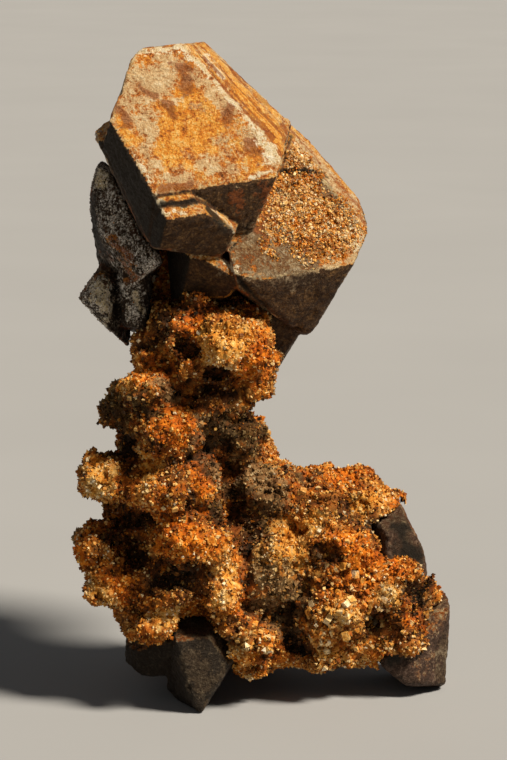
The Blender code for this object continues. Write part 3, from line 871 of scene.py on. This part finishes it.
def crystal_skin(
    name, node, look, seed, roughness, strokes, far_kinds, cracks=(), ledges=(), shadow=0.0,
):
    """A crystal group's fine surface, standing in for its CAD solid."""
    solid = Solid(node)
    skin = fine_skin(name, node, CRYSTAL_VOXEL)
    mesh = skin.data
    points, outward = solid.feet(points_of(mesh))
    ridge = Solid.gaps(solid.ridges, points)
    crease = Solid.gaps(solid.creases, points)
    points = relaxed(mesh, points, 0.6 * beside(ridge, ROUNDED_REACH), rounds=3)
    move_points(mesh, points)
    soft_normals = normals_of(mesh)

    bend = bending(points, 1.1, seed)
    layers = crystal_layers(points, outward, bend, solid.tree, strokes, far_kinds, seed, shadow)
    striated = smooth_step(outward @ STRIATED, 0.95, 0.99) * (1.0 - 0.8 * layers["dusty"])
    lines = striated * stripes(points, outward, BAND_LENGTH)
    height = crystal_relief(points, ridge, crease, layers["crust"], lines, seed, roughness)
    height += LEDGE_HEIGHT * painted(points, ledges, solid.tree, 0.3 * bend, soft=0.25)
    # cracks are cut in and filled with painted shade
    for crack in cracks:
        depth = painted(points, (crack,), solid.tree, bend, soft=0.8)
        height -= CRACK_DEPTH * depth
        layers["dark"] = np.maximum(layers["dark"], depth)
    points = points + soft_normals * (height * MM)[:, None]
    move_above_ground(mesh, points)

    for kind, values in layers.items():
        store(mesh, kind, values)
    store(mesh, "lines", lines)
    store(mesh, "striated", striated)
    # pale worn edges, paler where the face looks up: partly a painted highlight
    worn_and_lit_edge = beside(Solid.gaps(solid.keen, points), WORN_AND_LIT_EDGE_REACH)
    store(mesh, "edge", worn_and_lit_edge * (0.3 + 0.7 * layers["rust_and_top_light"]))
    # painted shade in the creases
    store(mesh, "crease", beside(crease, CREASE_SHADE_REACH))
    mesh.materials.append(look)
    mesh.shade_smooth()
    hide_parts(node)
    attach(skin, "root")
    return skin, layers


# corners and faces of the kinds of grains, for a half width of 1
GRAIN_SHAPES = {
    "chip": (
        ((0, 0, 1.1), (1, 0, -0.5), (-0.5, 0.87, -0.5), (-0.5, -0.87, -0.5)),
        ((0, 1, 2), (0, 2, 3), (0, 3, 1), (1, 3, 2)),
    ),
    "wedge": (
        ((0, 0, 1.2), (1, 0, 0.1), (-0.5, 0.87, 0), (-0.5, -0.87, -0.1), (0, 0, -0.9)),
        ((0, 1, 2), (0, 2, 3), (0, 3, 1), (4, 2, 1), (4, 3, 2), (4, 1, 3)),
    ),
    "bipyramid": (
        ((0, 0, 1.25), (1, 0, 0), (0, 1, 0), (-1, 0, 0), (0, -1, 0), (0, 0, -1.1)),
        ((0, 1, 2), (0, 2, 3), (0, 3, 4), (0, 4, 1), (5, 2, 1), (5, 3, 2), (5, 4, 3), (5, 1, 4)),
    ),
    "block": (
        (
            (-0.8, -0.8, -0.8), (0.8, -0.8, -0.8), (0.8, 0.8, -0.8), (-0.8, 0.8, -0.8),
            (-0.75, -0.8, 0.8), (0.8, -0.7, 0.75), (0.8, 0.8, 0.8), (-0.8, 0.7, 0.85),
        ),
        (
            (0, 2, 1), (0, 3, 2), (4, 5, 6), (4, 6, 7), (0, 1, 5), (0, 5, 4),
            (1, 2, 6), (1, 6, 5), (2, 3, 7), (2, 7, 6), (3, 0, 4), (3, 4, 7),
        ),
    ),
}


def turned(rng, up):
    """A random turn for each grain, its own z leaning towards the given direction."""
    z = unit(up + rng.normal(0.0, GRAIN_LEAN, up.shape))
    x = rng.normal(0.0, 1.0, up.shape)
    x = unit(x - z * (x * z).sum(1)[:, None])
    return np.stack([x, np.cross(z, x), z], 2)


def grain_mesh(name, rng, places, up, sizes, numbers):
    """Many small faceted grains joined in one mesh, each with its own stored numbers."""
    kinds = rng.choice(len(GRAIN_SHAPES), len(places), p=GRAIN_MIX)
    all_points, all_faces, all_numbers = [], [], {key: [] for key in numbers}
    offset = 0
    for kind, (corners, faces) in enumerate(GRAIN_SHAPES.values()):
        chosen = np.nonzero(kinds == kind)[0]
        if not len(chosen):
            continue
        shape = np.array(corners, dtype=float)
        stretch = rng.uniform(*GRAIN_STRETCH, (len(chosen), 1, 3)) * sizes[chosen][:, None, None]
        uneven = rng.normal(0.0, GRAIN_UNEVENNESS, (len(chosen), *shape.shape))
        local = (shape[None] + uneven) * stretch
        spun = np.einsum("nij,nkj->nki", turned(rng, up[chosen]), local)
        all_points.append((spun + places[chosen][:, None]).reshape(-1, 3))
        starts = offset + np.arange(len(chosen))[:, None, None] * len(shape)
        all_faces.append((np.array(faces)[None] + starts).reshape(-1, 3))
        for key, values in numbers.items():
            all_numbers[key].append(np.repeat(values[chosen], len(shape)))
        offset += len(chosen) * len(shape)
    points = np.concatenate(all_points)
    faces = np.concatenate(all_faces).astype(np.int32)
    mesh = bpy.data.meshes.new(name)
    mesh.vertices.add(len(points))
    mesh.vertices.foreach_set("co", points.ravel())
    mesh.loops.add(faces.size)
    mesh.loops.foreach_set("vertex_index", faces.ravel())
    mesh.polygons.add(len(faces))
    mesh.polygons.foreach_set("loop_start", np.arange(0, faces.size, 3, dtype=np.int32))
    mesh.update(calc_edges=True)
    mesh.shade_flat()
    for key, parts in all_numbers.items():
        store(mesh, key, np.concatenate(parts))
    return mesh


def spread(rng, mesh, count, chance):
    """Random places on a mesh's faces, more where chance is higher, with the direction there."""
    mesh.calc_loop_triangles()
    corners = gathered(mesh.loop_triangles, "vertices", 3, np.int32)
    points = points_of(mesh)
    a, b, c = (points[corners[:, i]] for i in range(3))
    area = np.linalg.norm(np.cross(b - a, c - a), axis=1) * chance[corners].mean(1)
    picked = rng.choice(len(corners), count, p=area / area.sum())
    r, s = np.sqrt(rng.random(count)), rng.random(count)
    weights = np.stack([1 - r, r * (1 - s), r * s], 1)
    trio = corners[picked]
    places = (points[trio] * weights[:, :, None]).sum(1)
    up = unit((normals_of(mesh)[trio] * weights[:, :, None]).sum(1))
    return places, up, trio, weights


def openness(tree, places, up, rng):
    """How open the sky is over each place: 0 in a deep hole, 1 on a bare bump."""
    start = places + up * SKY_GAP * MM
    free = np.zeros(len(places))
    for _ in range(SKY_RAYS):
        way = unit(up + rng.normal(0.0, SKY_SCATTER, up.shape))
        free += [
            tree.ray_cast(p, d, SKY_REACH * MM)[0] is None
            for p, d in zip(start.tolist(), way.tolist())
        ]
    return free / SKY_RAYS


def knobs(points, size, waver):
    """Rounded knobs with sharp clefts between them: 1 on a knob's top, 0 in a cleft."""
    places = ((points + waver * MM) / (size * MM)).tolist()
    near = np.array([noise.voronoi(place)[0][0] for place in places])
    return 1.0 - np.clip(near / KNOB_REACH, 0.0, 1.0) ** KNOB_STEEPNESS


def inner_room(tree, points, outward):
    """How thick the rock is under each point, in mm, as far as it matters."""
    start = points - outward * (ROOM_GAP * MM)
    reach = ROOM_REACH * MM
    hits = [tree.ray_cast(p, d, reach)[3] for p, d in zip(start.tolist(), (-outward).tolist())]
    return np.array([reach if hit is None else hit for hit in hits]) / MM


def grain_piece(name, look, slot, rng, mesh, count, sizes, chance, numbers, tone, raised):
    """One joined piece of grains strewn over a skin, raised by a share of their half width."""
    places, up, trio, weights = spread(rng, mesh, count, chance)
    half_widths = rng.uniform(*sizes, count) * MM
    kept = {}
    for kind, values in numbers.items():
        mixed = (values[trio] * weights).sum(1)
        varied = rng.normal(0.0, REGION_SPREAD, count) * (mixed > 0.02)
        kept[kind] = np.clip(mixed + varied, 0.0, 1.0)
    own_tone = rng.normal(GRAIN_TONE, TONE_SPREAD, count)
    kept["tone"] = np.clip(own_tone * (tone[trio] * weights).sum(1), 0.0, 1.0)
    if "cream" in kept:
        kept["cream"] = np.where(rng.random(count) < PALE_SHARE, PALE_AMOUNT, kept["cream"])
    lifted = places + up * (half_widths * raised)[:, None]
    grains = grain_mesh(name, rng, lifted, up, half_widths, kept)
    move_above_ground(grains, points_of(grains))
    grains.materials.append(look)
    piece = placed(name, grains)
    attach(piece, "root")


def rock_relief(points, outward, bend):
    """Lumps, knobs, grit and pits of the rock, in mm of height."""
    backward = smooth_step(outward[:, 1], 0.1, 0.7)
    height = LUMP_HEIGHT * cloud(points, 3.2, 4, 21.0)
    height += BACK_LUMP_HEIGHT * backward * cloud(points, 2.8, 3, 61.0)
    for width, waver, tall, sunk in ROCK_KNOBS:
        height += tall * knobs(points, width, waver * bend) - sunk
    height += GRIT_HEIGHT * cloud(points, 0.35, 2, 27.0)
    height -= PIT_DEPTH * smooth_step(cloud(points, 1.3, 3, 31.0), 0.35, 0.6)
    return height


def rock_layers(points, outward, bend, tree, hollow, sky):
    """How much of each kind of colour lies at each point of the rock, with painted shade in the hollows
    and where little sky is open.
    """
    layers = {
        kind: painted(points, lines, tree, bend, soft=1.0)
        for kind, lines in ROCK_REGIONS.items()
    }
    far_kinds = ("cream", "grey", "brown")
    far_patches(layers, far_kinds, points, outward, size=4.5, seed=70.0, slant=-0.05)
    # painted shade in the hollows and where little sky is open
    layers["dark"] = np.maximum(0.7 * hollow, 0.5 * (1.0 - smooth_step(sky, 0.0, 0.4)))
    return layers


def matrix_pieces(rng, skin_look, grain_look):
    """The rock's lumpy skin and the druse of grains all over it."""
    solid = Solid("matrix")
    skin = fine_skin("matrix_crust", "matrix", MATRIX_VOXEL)
    mesh = skin.data
    points = points_of(mesh)
    points = relaxed(mesh, points, np.full(len(points), 0.5), rounds=2)
    move_points(mesh, points)
    outward = normals_of(mesh)
    room = inner_room(solid.tree, points, outward)
    bend = bending(points, 1.4, 50.0)
    # hollows are sunk and painted with shade
    hollow = painted(points, ROCK_SHADED_HOLLOWS, solid.tree, bend)
    height = rock_relief(points, outward, bend) - HOLLOW_DEPTH * hollow
    height = np.clip(height, -MOST_OFF * room, MOST_ADDED * room)
    points = points + outward * (height * MM)[:, None]
    move_above_ground(mesh, points)
    tree = BVHTree.FromPolygons(points.tolist(), [tuple(p.vertices) for p in mesh.polygons])

    sky = openness(tree, points, normals_of(mesh), rng)
    layers = rock_layers(points, outward, bend, solid.tree, hollow, sky)
    for kind, values in layers.items():
        store(mesh, kind, values)
    # the skin's tone is darker where little sky is open: painted shade
    store(mesh, "tone", 0.12 + 0.4 * sky)
    mesh.materials.append(skin_look)
    mesh.shade_smooth()
    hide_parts("matrix")
    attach(skin, "root")
    # the grains' tone is darker where little sky is open: painted shade
    for number, grains in enumerate(MATRIX_GRAINS, start=1):
        grain_piece(
            "matrix_grains_%d" % number, grain_look, "matrix", rng, mesh, *grains,
            chance=0.12 + sky, numbers=layers, tone=0.4 + 0.7 * sky, raised=0.3,
        )
    blocks = painted(points, BLOCK_PLACES, solid.tree, bend) * (0.1 + sky) + 0.01 * sky
    numbers = dict(layers, cream=np.maximum(layers["cream"], 0.6 * blocks))
    # the blocks' tone is darker where little sky is open: painted shade
    grain_piece(
        "matrix_blocks", grain_look, "matrix", rng, mesh, *MATRIX_BLOCKS,
        chance=blocks, numbers=numbers, tone=0.6 + 0.6 * sky, raised=0.1,
    )


def floor():
    """A wide pale floor."""
    bm = bmesh.new()
    bmesh.ops.create_circle(bm, cap_ends=True, segments=96, radius=3.0)
    mesh = bpy.data.meshes.new("floor")
    bm.to_mesh(mesh)
    bm.free()
    obj = placed("floor", mesh)
    look = Look("floor_paper")
    shade = look.ramp(look.mottle(40.0, 2.0), palette((0.3, 146, 147, 148), (0.7, 149, 150, 151)))
    mesh.materials.append(look.coat(shade, 0.8))


def aim(obj, back):
    """Turn a light or a camera so that it looks away from a direction."""
    obj.rotation_mode = 'QUATERNION'
    obj.rotation_quaternion = Vector(back).to_track_quat('Z', 'Y')


def sun(name, toward, strength, spread_degrees, colour):
    """A broad soft light from one direction."""
    lamp = bpy.data.lights.new(name, 'SUN')
    lamp.energy = strength
    lamp.angle = math.radians(spread_degrees)
    lamp.color = colour
    aim(placed(name, lamp), toward)


def studio():
    """Key light from the upper right, a weak fill, and a pale surround."""
    sun("key", (0.52, -0.36, 0.78), strength=6.6, spread_degrees=14.0, colour=(1.0, 0.9, 0.76))
    sun("fill", (-0.5, -0.8, 0.35), strength=0.18, spread_degrees=60.0, colour=(1.0, 0.96, 0.9))
    world = bpy.data.worlds.new("surround")
    world.use_nodes = True
    background = world.node_tree.nodes["Background"]
    background.inputs["Color"].default_value = srgb(214, 214, 214)
    background.inputs["Strength"].default_value = 0.14
    bpy.context.scene.world = world
    bpy.context.scene.view_settings.view_transform = 'Standard'


def camera():
    """The photograph's view."""
    data = bpy.data.cameras.new("camera")
    data.lens = LENS
    data.sensor_width = SENSOR
    data.clip_start = 0.01
    data.clip_end = 20.0
    obj = placed("camera", data)
    obj.location = EYE
    aim(obj, BACK)
    bpy.context.scene.camera = obj


camera()
studio()
floor()

# shadow=0.95 paints the head's shaded side near black: painted shadow
head_skin, head_layers = crystal_skin(
    "head_surface", "head_crystals",
    crystal_look("head_crystal", TAN_BODY, rust_share=0.97, edge_share=0.6),
    seed=1.0, roughness=0.04, strokes=HEAD_STROKES,
    far_kinds=("dusty", "grey", "stain", "orange"),
    cracks=HEAD_CRACKS, ledges=HEAD_LEDGES, shadow=0.95,
)
side_skin, side_layers = crystal_skin(
    "side_surface", "side_crystals",
    crystal_look("side_crystal", DARK_BODY, rust_share=0.12, edge_share=0.1),
    seed=2.0, roughness=0.08, strokes=SIDE_STROKES,
    far_kinds=("salt", "stain"),
)
# light=0.42 darkens the foot crystals: painted shade
crystal_skin(
    "foot_surface", "foot_crystals",
    crystal_look("foot_crystal", FOOT_BODY, rust_share=0.15, edge_share=0.1, light=0.42),
    seed=3.0, roughness=0.06, strokes={"grey": FOOT_PALE, "crust": FOOT_RUST},
    far_kinds=("grey",),
)
# light=0.62 darkens the arm crystals: painted shade
arm_look = crystal_look("arm_crystal", ARM_BODY, rust_share=0.12, edge_share=0.3, light=0.62)
arm_strokes = {"grey": ARM_PALE, "dark": ARM_SHADOWS}
for arm, seed, strokes in (
    ("arm_wedge", 4.0, arm_strokes), ("arm_corner", 5.0, dict(arm_strokes, crust=ARM_RUST)),
):
    crystal_skin(
        arm + "_surface", arm + "_crystal", arm_look,
        seed=seed, roughness=0.05, strokes=strokes, far_kinds=("grey", "stain"),
    )

rng = np.random.default_rng(5)
crust, salt = head_layers["crust"], head_layers["salt"]
head_grain_look = rock_look("head_grain", light=0.1, smoothest=0.35)
grain_piece(
    "head_grains", head_grain_look, "head_crystals", rng, head_skin.data, *HEAD_GRAINS,
    chance=crust ** 2 + 0.5 * salt,
    numbers={"orange": 0.5 * crust, "cream": 0.3 * crust, "grey": 0.3 * crust, "salt": salt},
    tone=0.85 + 0.3 * crust, raised=0.1,
)
grain_piece(
    "head_flakes", head_grain_look, "head_crystals", rng, head_skin.data, *HEAD_FLAKES,
    chance=crust ** 2 + 0.4 * salt,
    numbers={"orange": 0.3 * crust, "cream": 0.6 * crust, "salt": salt},
    tone=0.8 + 0.3 * crust, raised=0.0,
)
salt = side_layers["salt"]
grain_piece(
    "side_grains", rock_look("side_grain", light=0.0, smoothest=0.3), "side_crystals",
    rng, side_skin.data, *SIDE_GRAINS,
    chance=0.05 + salt, numbers={"salt": np.ones(len(salt))}, tone=0.5 + 0.9 * salt, raised=0.2,
)
matrix_pieces(
    rng,
    rock_look("matrix_crust", light=0.09, smoothest=0.7),
    rock_look("matrix_grain", light=0.01, smoothest=0.4),
)

bpy.context.view_layer.update()
